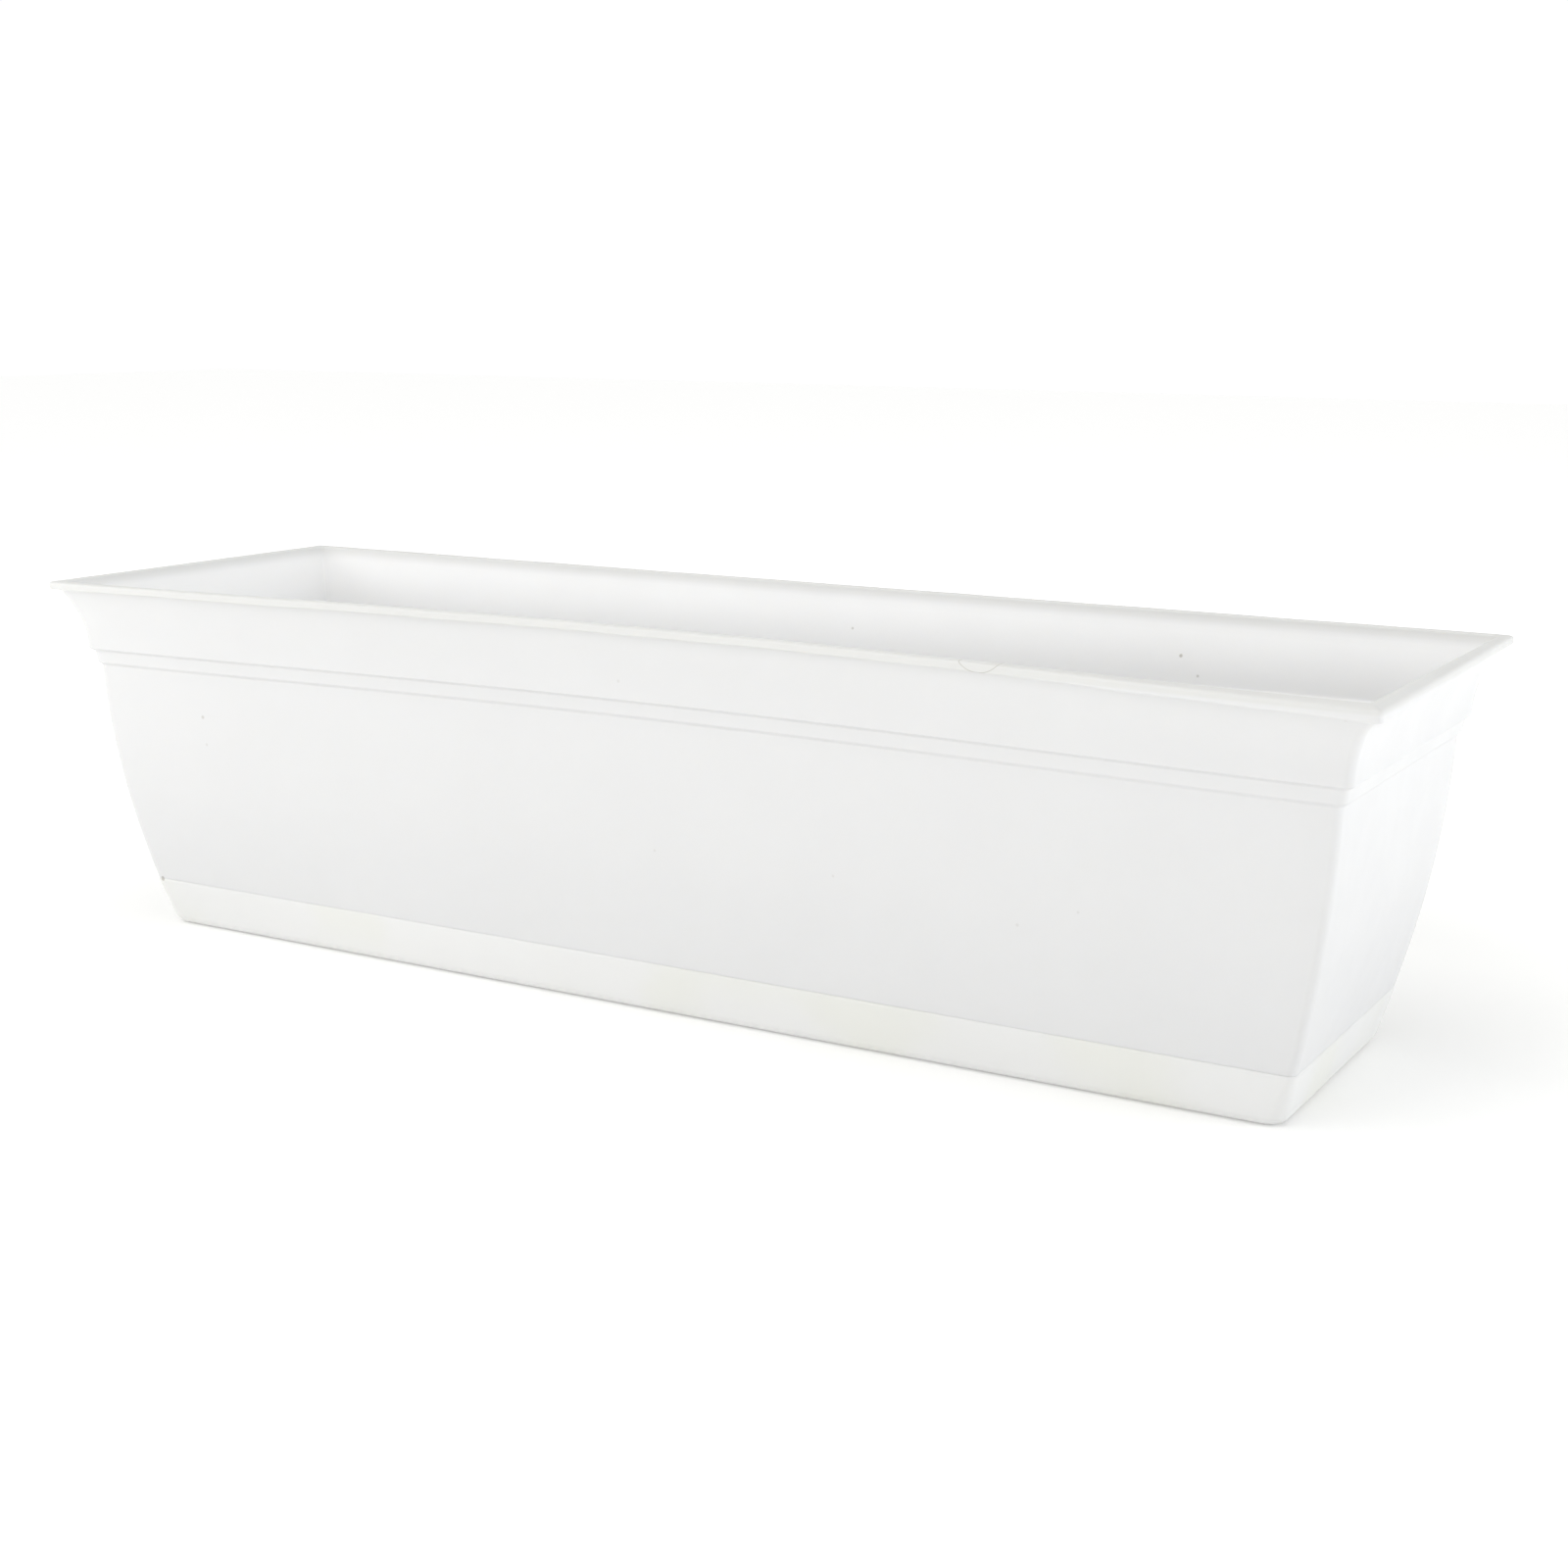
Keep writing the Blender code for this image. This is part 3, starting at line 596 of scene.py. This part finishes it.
trayLook = {
    "color": (0.752, 0.753, 0.746),
    "shade": 0.980,
    "stain": (0.985, 0.988, 0.950),
    "roughness": 0.42,
    "grain": 0.08,
    "ripple": 0.08,
    "scuff": 0.30,
    "soft": 0.10,
}
traySpecks = [
    ((-0.2701, -0.0645, 0.0215), 0.0014, 0.60),
]
trayShape = {
    "rimInset": 0.0289,
    "sideInset": 0.0328,
    "footInset": 0.0352,
    "footRadius": 0.0070,
    "wall": 0.0022,
    "floorZ": 0.0030,
    "recess": 0.0010,
    "undercut": 0.0034,     # the foot it stands on lies inside the edge that shows
    "lift": 0.0008,
    "ribs": (-0.21, -0.07, 0.07, 0.21),
    "ribThick": 0.0020,
    "ribReach": 0.0090,
    "ribAway": 0.0030,      # middle of each rib, in from the wall
    "ribEdge": 0.0004,
    "recessAway": 0.009,
    "chine": 0.0032,        # height where the sides begin
}


def makeBaseTray():
    shape = trayShape
    seam, foot, wall = shell["seamZ"], shape["footRadius"], shape["wall"]
    recessInset = shape["footInset"] + shape["recessAway"]
    stand = shape["footInset"] + shape["undercut"]
    knots = [
        station(recessInset + 0.004, shape["recess"], bow=0.0),
        station(recessInset, shape["recess"], bow=0.0, fillet=0.0004),
        station(recessInset - 0.0008, 0.0, bow=0.0, fillet=0.0003),
        station(stand, 0.0, bow=0.0, radius=foot, fillet=0.0002),
        station(stand, shape["lift"], bow=0.0, radius=foot, fillet=0.0002),
        station(shape["footInset"] - 0.0006, shape["lift"], bow=0.0, radius=foot, fillet=0.0005),
        station(shape["sideInset"], shape["chine"], bow=0.0, radius=foot, fillet=0.0014),
        station(shape["rimInset"] - 0.0001, seam - 0.0010, fillet=0.0006),
        station(shape["rimInset"], seam, fillet=0.00010),
        station(shape["rimInset"], seam, wall, fillet=0.0005),
        station(shape["sideInset"], shape["floorZ"], wall, bow=0.0, radius=foot, fillet=0.0025),
        station(shape["sideInset"] + 0.010, shape["floorZ"], wall, bow=0.0, radius=foot),
    ]
    bm = ringSkin(filleted(knots))
    ribTop = shell["skirtFootZ"] - gap
    ribHeight = ribTop - shape["floorZ"] + 0.001
    ribZ = ribTop - ribHeight / 2
    thick, reach, edge = shape["ribThick"], shape["ribReach"], shape["ribEdge"]
    sideY = shell["width"] / 2 - shape["sideInset"] * shell["sideRatio"] - wall - shape["ribAway"]
    endX = shell["length"] / 2 - shape["sideInset"] * shell["endRatio"] - wall - shape["ribAway"]
    for side in (-1, 1):
        for x in shape["ribs"]:
            addBlock(bm, (thick, reach, ribHeight), (x, side * sideY, ribZ), edge)
        addBlock(bm, (reach, thick, ribHeight), (side * endX, 0.0, ribZ), edge)
    finishPiece("baseTrayShell", bm, plastic("trayPlastic", trayLook, traySpecks), "tray",
                ["base_tray"])


makeBaseTray()
print("base tray made")


# Water platform

greyLook = {"color": (0.66, 0.67, 0.68), "shade": 0.93, "roughness": 0.50, "grain": 0.14, "ripple": 0.08}
platformLow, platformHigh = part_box("water_platform")
platformShape = {
    "thick": 0.0026,
    "edge": 0.0044,         # walls of the box, and the air round the platform
    "bow": 0.0085,
    "upstand": 0.0022,
    "slotWidth": 0.0036,
    "slotSpan": 0.015,
    "slotPitch": 0.020,
    "slotRows": (-0.024, 0.003, 0.030),
    "legs": ((-0.245, -0.040), (-0.245, 0.045), (-0.075, -0.040), (0.075, -0.040), (0.190, 0.050),
             (0.265, 0.045)),
    "ribs": (-0.210, -0.070, 0.010, 0.070, 0.190),   # between the columns of slots
    "ribDepth": 0.0050,
    "ribThick": 0.0016,
    "ribSpan": 0.084,
    "ribMiddleY": 0.006,
    "ribSink": 0.0003,      # how far each rib goes into the plate
    "ribEdge": 0.0004,
    "legRadii": (0.0045, 0.0065),
    "wellHole": 0.0363,
    "tubeHole": 0.0153,
    "wellClear": 0.048,     # no slots within this distance
    "tubeClear": 0.0285,
    "columns": range(-13, 14),
}


def makePlatform():
    shape = platformShape
    top = platformHigh.z
    under = top - shape["thick"]
    inset, edge, bow = bodyInset(under), shape["edge"], shape["bow"]
    raised = top + shape["upstand"]
    knots = [
        station(inset + 0.006, under, edge, bow=bow),
        station(inset, under, edge, bow=bow, fillet=0.0005),
        station(inset, raised, edge, bow=bow, fillet=0.0005),
        station(inset, raised, edge + 0.0016, bow=bow, fillet=0.0005),
        station(inset, top, edge + 0.0018, bow=bow, fillet=0.0005),
        station(inset + 0.006, top, edge + 0.0018, bow=bow),
    ]
    bm = ringSkin(filleted(knots, 3), 48, 12, 6)
    tools = bmesh.new()
    wells = [spotOf("soil_well_left"), spotOf("soil_well_right")]
    tubeX, tubeY = spotOf("fill_tube")
    low, high = under - 0.01, top + 0.01
    for wellX, wellY in wells:
        addPeg(tools, shape["wellHole"], shape["wellHole"], low, high, wellX, wellY, 64)
    addPeg(tools, shape["tubeHole"], shape["tubeHole"], low, high, tubeX, tubeY, 40)
    for column in shape["columns"]:
        x = column * shape["slotPitch"]
        for y in shape["slotRows"]:
            nearWell = min(math.hypot(x - wellX, y) for wellX, _ in wells) < shape["wellClear"]
            nearTube = math.hypot(x - tubeX, y - tubeY) < shape["tubeClear"]
            if not (nearWell or nearTube):
                addSlot(tools, shape["slotWidth"], shape["slotSpan"], low, high, x, y)
    bm = cutBy(bm, tools)
    for x, y in shape["legs"]:
        addPeg(bm, *shape["legRadii"], platformLow.z, under + 0.0004, x, y, 24)
    for x in shape["ribs"]:
        addBlock(bm, (shape["ribThick"], shape["ribSpan"], shape["ribDepth"]),
                 (x, shape["ribMiddleY"], under - shape["ribDepth"] / 2 + shape["ribSink"]), shape["ribEdge"])
    finishPiece("waterPlatform", bm, plastic("platformPlastic", greyLook), "platform",
                ["water_platform"])


makePlatform()
print("water platform made")


# Soil wells

wellLook = {"color": (0.60, 0.615, 0.63), "shade": 0.93, "roughness": 0.50, "grain": 0.14, "ripple": 0.08}
wellShape = {
    "topRadius": 0.036,
    "footRadius": 0.026,
    "wall": 0.0018,
    "flange": 0.0060,
    "rimThick": 0.0020,
    "slots": 8,
    "slotSize": (0.0030, 0.0190),
    "slotRise": 0.0155,
    "seeps": 6,
    "seepRadius": 0.002,
    "seepRing": 0.014,
}


def makeWell(name, node, body):
    shape = wellShape
    low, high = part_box(node)
    top, foot, wall = high.z, low.z, shape["wall"]
    rest = top - shape["rimThick"]
    wide, narrow = shape["topRadius"], shape["footRadius"]
    outline = filleted([
        (wide - wall, top, 0.0006), (wide + shape["flange"], top, 0.0007),
        (wide + shape["flange"], rest, 0.0004),
        (wide, rest, 0.0004), (wide - 0.0012, rest - 0.0040, 0.0010), (narrow, foot + 0.0006, 0.0020),
        (narrow - 0.0030, foot, 0.0008), (0.0, foot, 0.0), (0.0, foot + wall, 0.0),
        (narrow - 0.0032, foot + wall, 0.0016), (wide - 0.0012 - wall, rest - 0.0040, 0.0010),
    ], closed=True)
    bm = bmesh.new()
    revolve(bm, outline, 96, closed=True)
    tools = bmesh.new()
    for step in range(shape["slots"]):
        turn = math.tau * (step + 0.5) / shape["slots"]
        made = addSlot(tools, *shape["slotSize"], wide - 0.014, wide + 0.006, 0.0, 0.0, 16)
        # The slot's peg lies along the radius, its round ends up and down
        turnPart(tools, made, math.pi / 2, "Y")
        turnPart(tools, made, math.pi / 2, "X")
        turnPart(tools, made, turn, "Z")
        bmesh.ops.translate(tools, vec=(0, 0, foot + shape["slotRise"]), verts=made)
    seep, ring = shape["seepRadius"], shape["seepRing"]
    for step in range(shape["seeps"]):
        turn = math.tau * step / shape["seeps"]
        addPeg(tools, seep, seep, foot - 0.004, foot + 0.006,
               ring * math.cos(turn), ring * math.sin(turn), 16)
    bm = cutBy(bm, tools)
    bmesh.ops.translate(bm, vec=(*spotOf(node), 0), verts=bm.verts)
    finishPiece(name, bm, plastic(name + "Plastic", wellLook), body, [node])


makeWell("soilWellLeft", "soil_well_left", "well_left")
makeWell("soilWellRight", "soil_well_right", "well_right")
print("soil wells made")


# Fill tube, cap and float

tubeLook = {"color": (0.60, 0.615, 0.63), "shade": 0.94, "roughness": 0.42, "grain": 0.08, "ripple": 0.06}
capLook = {"color": (0.20, 0.225, 0.25), "shade": 0.85, "roughness": 0.46, "grain": 0.22, "ripple": 0.05,
           "grainScale": 1400.0, "scuff": 0.35}
foamLook = {"color": (0.80, 0.80, 0.78), "shade": 0.90, "roughness": 0.85, "grain": 0.9, "grainScale": 620.0,
            "ripple": 0.12, "soft": 0.1}
rodLook = {"color": (0.78, 0.79, 0.80), "shade": 0.95, "roughness": 0.34, "grain": 0.05}
markerLook = {"color": (0.62, 0.035, 0.022), "shade": 0.82, "roughness": 0.28, "grain": 0.05, "ripple": 0.05}
tubeShape = {
    "radius": 0.0150,
    "wall": 0.0018,
    "collar": 0.0185,
    "collarThick": 0.0020,
    "neck": 0.0060,         # from the top down to the plain tube
    "flange": 0.0050,
    "flangeThick": 0.0020,
    "notch": (0.040, 0.006, 0.012),   # half of its height is in the foot of the tube
}
capShape = {
    "wall": 0.0020,
    "rise": 0.0040,
    "vent": 0.0042,         # the level marker rises through it
    "grips": 24,
    "gripDepth": 0.0006,
    "dropZ": 0.0022,
    "dropY": -0.0142,
    "dropRadius": 0.0022,
    "dropPoint": 0.0026,
    "dropStretch": 1.75,
    "dropThick": 0.0007,
}
floatShape = {
    "edge": 0.0028,
    "socketDepth": 0.0080,
    "markerShoulder": 0.0022,
    "markerSocket": 0.0038,
    "markerTop": 0.55,      # share of its radius
}


def makeFillTube():
    shape = tubeShape
    low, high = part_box("fill_tube")
    top, foot, out = high.z, low.z, shape["radius"]
    bore, collar, flange = out - shape["wall"], shape["collar"], out + shape["flange"]
    rest = platformHigh.z + gap
    flangeTop, neck = rest + shape["flangeThick"], top - shape["neck"]
    outline = filleted([
        (bore + 0.0030, top, 0.0005), (collar, top, 0.0006), (collar, top - shape["collarThick"], 0.0008),
        (out, neck, 0.0010), (out, flangeTop, 0.0008), (flange, flangeTop, 0.0006), (flange, rest, 0.0004),
        (out, rest, 0.0004), (out, foot, 0.0004), (bore, foot, 0.0004), (bore, neck, 0.0014),
    ], closed=True)
    bm = bmesh.new()
    revolve(bm, outline, 64, closed=True)
    span, width, height = shape["notch"]
    for size in ((span, width, height), (width, span, height)):
        tools = bmesh.new()
        addBlock(tools, size, (0, 0, foot))
        bm = cutBy(bm, tools)
    bmesh.ops.translate(bm, vec=(*spotOf("fill_tube"), 0), verts=bm.verts)
    finishPiece("fillTube", bm, plastic("tubePlastic", tubeLook), "tube", ["fill_tube"])


def makeFillCap():
    shape = capShape
    low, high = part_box("fill_cap")
    out, foot = (high.x - low.x) / 2, low.z
    inner = out - shape["wall"]
    roof = high.z - shape["rise"]
    peak, vent = roof + shape["rise"], shape["vent"]
    outline = filleted([
        (vent, roof + 0.0032, 0.0003), (0.0052, peak, 0.0006), (0.0080, peak, 0.0010),
        (0.0095, roof + 0.0024, 0.0008), (0.0185, roof + 0.0024, 0.0012), (out, roof + 0.0008, 0.0010),
        (out, foot, 0.0005), (inner, foot, 0.0004), (inner, roof, 0.0006), (vent, roof, 0.0004),
    ], closed=True)
    bm = bmesh.new()
    made = revolve(bm, outline, 192, closed=True)
    for vert in made:
        radius = math.hypot(vert.co.x, vert.co.y)
        if radius > inner + 0.0010 and foot + 0.0003 < vert.co.z < roof + 0.0010:
            turn = math.atan2(vert.co.y, vert.co.x)
            hollow = shape["gripDepth"] * (0.5 + 0.5 * math.cos(shape["grips"] * turn)) ** 3
            vert.co.x *= 1 - hollow / radius
            vert.co.y *= 1 - hollow / radius
    addDrop(bm, roof + shape["dropZ"])
    bmesh.ops.translate(bm, vec=(*spotOf("fill_cap"), 0), verts=bm.verts)
    finishPiece("fillCap", bm, plastic("capPlastic", capLook), "cap", ["fill_cap"])


def addDrop(bm, z):
    # Raised water drop on the roof of the cap
    shape = capShape
    verts = bmesh.ops.create_circle(bm, cap_ends=True, segments=32, radius=shape["dropRadius"])["verts"]
    for vert in verts:
        if vert.co.y > 0:
            vert.co.x *= 1 - vert.co.y / shape["dropPoint"]
            vert.co.y *= shape["dropStretch"]
    face = list({face for vert in verts for face in vert.link_faces})
    bmesh.ops.translate(bm, vec=(0, shape["dropY"], z), verts=verts)
    raised = bmesh.ops.extrude_face_region(bm, geom=face)["geom"]
    top = [part for part in raised if isinstance(part, bmesh.types.BMVert)]
    bmesh.ops.translate(bm, vec=(0, 0, shape["dropThick"]), verts=top)
    verts = list(set(verts) | set(top))
    bmesh.ops.recalc_face_normals(bm, faces=list({face for vert in verts for face in vert.link_faces}))


def makeFloat():
    shape = floatShape
    x, y = spotOf("float_body")
    low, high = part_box("float_body")
    out = (high.x - low.x) / 2
    edge, socketFoot = shape["edge"], high.z - shape["socketDepth"]
    rodLow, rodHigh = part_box("float_rod")
    rod = (rodHigh.x - rodLow.x) / 2
    socket = rod + gap
    bm = bmesh.new()
    revolve(bm, filleted([
        (0.0, socketFoot, 0.0), (socket, socketFoot, 0.0), (socket, high.z, 0.0004),
        (out, high.z, edge), (out, low.z, edge), (0.0, low.z, 0.0)]), 48, x, y)
    finishPiece("floatBody", bm, plastic("floatFoam", foamLook), "float", ["float_body"])
    bm = bmesh.new()
    revolve(bm, filleted([
        (0.0, rodHigh.z, 0.0), (rod, rodHigh.z, 0.0003), (rod, rodLow.z, 0.0003),
        (0.0, rodLow.z, 0.0)]), 20, x, y)
    finishPiece("floatRod", bm, plastic("rodPlastic", rodLook), "float", ["float_rod"])
    low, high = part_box("float_marker")
    out, socketTop = (high.x - low.x) / 2, low.z + shape["markerSocket"]
    bm = bmesh.new()
    revolve(bm, filleted([
        (0.0, high.z, 0.0), (out * shape["markerTop"], high.z, 0.0008),
        (out, high.z - shape["markerShoulder"], 0.0012), (out, low.z, 0.0004), (socket, low.z, 0.0003),
        (socket, socketTop, 0.0002), (0.0, socketTop, 0.0)]), 40, x, y)
    finishPiece("floatMarker", bm, plastic("markerPlastic", markerLook), "float",
                ["float_marker"])


makeFillTube()
makeFillCap()
makeFloat()
print("fill tube, cap and float made")


# Drain plugs

rubberLook = {"color": (0.035, 0.035, 0.038), "shade": 0.7, "roughness": 0.68, "grain": 0.35,
              "grainScale": 1500.0, "ripple": 0.05, "scuff": 0.4}
plugShape = {
    "radius": 0.0080,
    "flange": 0.0034,
    "flangeThick": 0.0020,
    "knob": 0.0040,
    "neck": 0.0032,
    "hollow": 0.0045,       # radius of the hollow underneath
}


def makePlug(number, material):
    node, shape = f"drain_plug_{number}", plugShape
    low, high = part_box(node)
    seat, roof = shell["floorZ"] + gap, shell["floorZ"] - 0.0010
    shoulder = seat + shape["flangeThick"]
    out, rim = shape["radius"], shape["radius"] + shape["flange"]
    knob, hollow = shape["knob"], shape["hollow"]
    bm = bmesh.new()
    revolve(bm, filleted([
        (0.0, high.z, 0.0), (knob, high.z, 0.0010), (knob, high.z - 0.0016, 0.0008),
        (shape["neck"], seat + 0.0030, 0.0010), (0.0052, shoulder, 0.0008), (rim, shoulder, 0.0008),
        (rim, seat, 0.0004), (out - 0.0001, seat, 0.0003), (out - 0.0006, low.z + 0.0012, 0.0004),
        (out - 0.0012, low.z, 0.0004), (hollow, low.z, 0.0004), (hollow, roof, 0.0005), (0.0, roof, 0.0),
    ]), 48, *spotOf(node))
    finishPiece(f"drainPlug{number}", bm, material, f"plug_{number}", [node])


rubber = plastic("plugRubber", rubberLook)
for number in plugNumbers:
    makePlug(number, rubber)
print("drain plugs made")


# Floor, lights and camera

studio = {
    "floor": (0.86, 0.86, 0.85),
    "floorGlow": 0.17,
    "farGlow": 0.56,        # the floor fades to plain white further out
    "horizon": (1.02, 1.02, 1.02),
    "zenith": (0.36, 0.36, 0.355),
    "skyFade": (0.22, 0.62),
    "glowFade": (0.31, 0.62),
    "floorSize": 6.0,
}
softboxes = [   # name, place, aimed at, size, power, colour
    ("overheadSoftbox", (0.0, -0.1, 1.5), (0.0, -0.05, 0.0), (1.8, 1.2), 10.5, (1.0, 0.992, 0.975)),
    ("keySoftbox", (-0.60, -1.45, 1.35), (-0.05, 0.0, 0.08), (1.5, 1.0), 9.0, (1.0, 0.998, 0.992)),
    ("endSoftbox", (2.0, 0.40, 0.72), (0.3, 0.0, 0.08), (1.2, 1.0), 12.6, (0.93, 0.96, 1.0)),
    ("sideSoftbox", (-1.2, -0.8, 0.45), (-0.15, 0.0, 0.08), (1.0, 0.8), 4.0, (1.0, 1.0, 1.0)),
]
cameraView = {
    "place": (0.5009, -0.8152, 0.2900),
    "forward": (-0.4901999, 0.84612479, -0.20922928),
    "right": (0.86475412, 0.50217282, 0.00477226),
    "lens": 52.34,
    "sensorWidth": 36.0,
}


def makeFloor():
    bm = bmesh.new()
    bmesh.ops.create_grid(bm, x_segments=2, y_segments=2, size=studio["floorSize"])
    mesh = bpy.data.meshes.new("studioFloor")
    bm.to_mesh(mesh)
    bm.free()
    material = bpy.data.materials.new("floorPaper")
    material.use_nodes = True
    tree = material.node_tree
    shader = tree.nodes["Principled BSDF"]
    shader.inputs["Base Color"].default_value = (*studio["floor"], 1.0)
    shader.inputs["Roughness"].default_value = 0.9
    shader.inputs["Specular IOR Level"].default_value = 0.1
    shader.inputs["Emission Color"].default_value = (1.0, 1.0, 1.0, 1.0)
    distance = addNode(tree, "ShaderNodeVectorMath", operation="LENGTH")
    tree.links.new(addNode(tree, "ShaderNodeTexCoord").outputs["Object"], distance.inputs[0])
    glow = remap(tree, distance.outputs["Value"], *studio["glowFade"], studio["floorGlow"], studio["farGlow"])
    tree.links.new(glow, shader.inputs["Emission Strength"])
    mesh.materials.append(material)
    floor = bpy.data.objects.new("studioFloor", mesh)
    bpy.context.scene.collection.objects.link(floor)


def makeWorld():
    # Bright all round the horizon, dim overhead
    world = bpy.data.worlds.new("studioWorld")
    world.use_nodes = True
    tree = world.node_tree
    coords = addNode(tree, "ShaderNodeTexCoord").outputs["Generated"]
    rise = remap(tree, splitOf(tree, coords)["Z"], *studio["skyFade"], 0.0, 1.0)
    color = mixColor(tree, rise, (*studio["horizon"], 1.0), (*studio["zenith"], 1.0))
    tree.links.new(color, tree.nodes["Background"].inputs["Color"])
    bpy.context.scene.world = world


def addAreaLight(name, place, target, size, power, color):
    light = bpy.data.lights.new(name, "AREA")
    light.color = color
    light.shape = "RECTANGLE"
    light.size, light.size_y = size
    light.energy = power
    lamp = bpy.data.objects.new(name, light)
    bpy.context.scene.collection.objects.link(lamp)
    lamp.location = place
    lamp.rotation_euler = (Vector(target) - Vector(place)).to_track_quat("-Z", "Y").to_euler()


def makeCamera():
    data = bpy.data.cameras.new("camera")
    data.sensor_width = cameraView["sensorWidth"]
    data.lens = cameraView["lens"]
    camera = bpy.data.objects.new("camera", data)
    bpy.context.scene.collection.objects.link(camera)
    forward, right = Vector(cameraView["forward"]), Vector(cameraView["right"])
    turned = Matrix((right, right.cross(forward), -forward)).transposed()
    camera.matrix_world = Matrix.LocRotScale(Vector(cameraView["place"]), turned.to_quaternion(), None)
    bpy.context.scene.camera = camera


makeFloor()
makeWorld()
for softbox in softboxes:
    addAreaLight(*softbox)
bpy.context.scene.view_settings.view_transform = "Standard"

makeCamera()
print("studio ready")
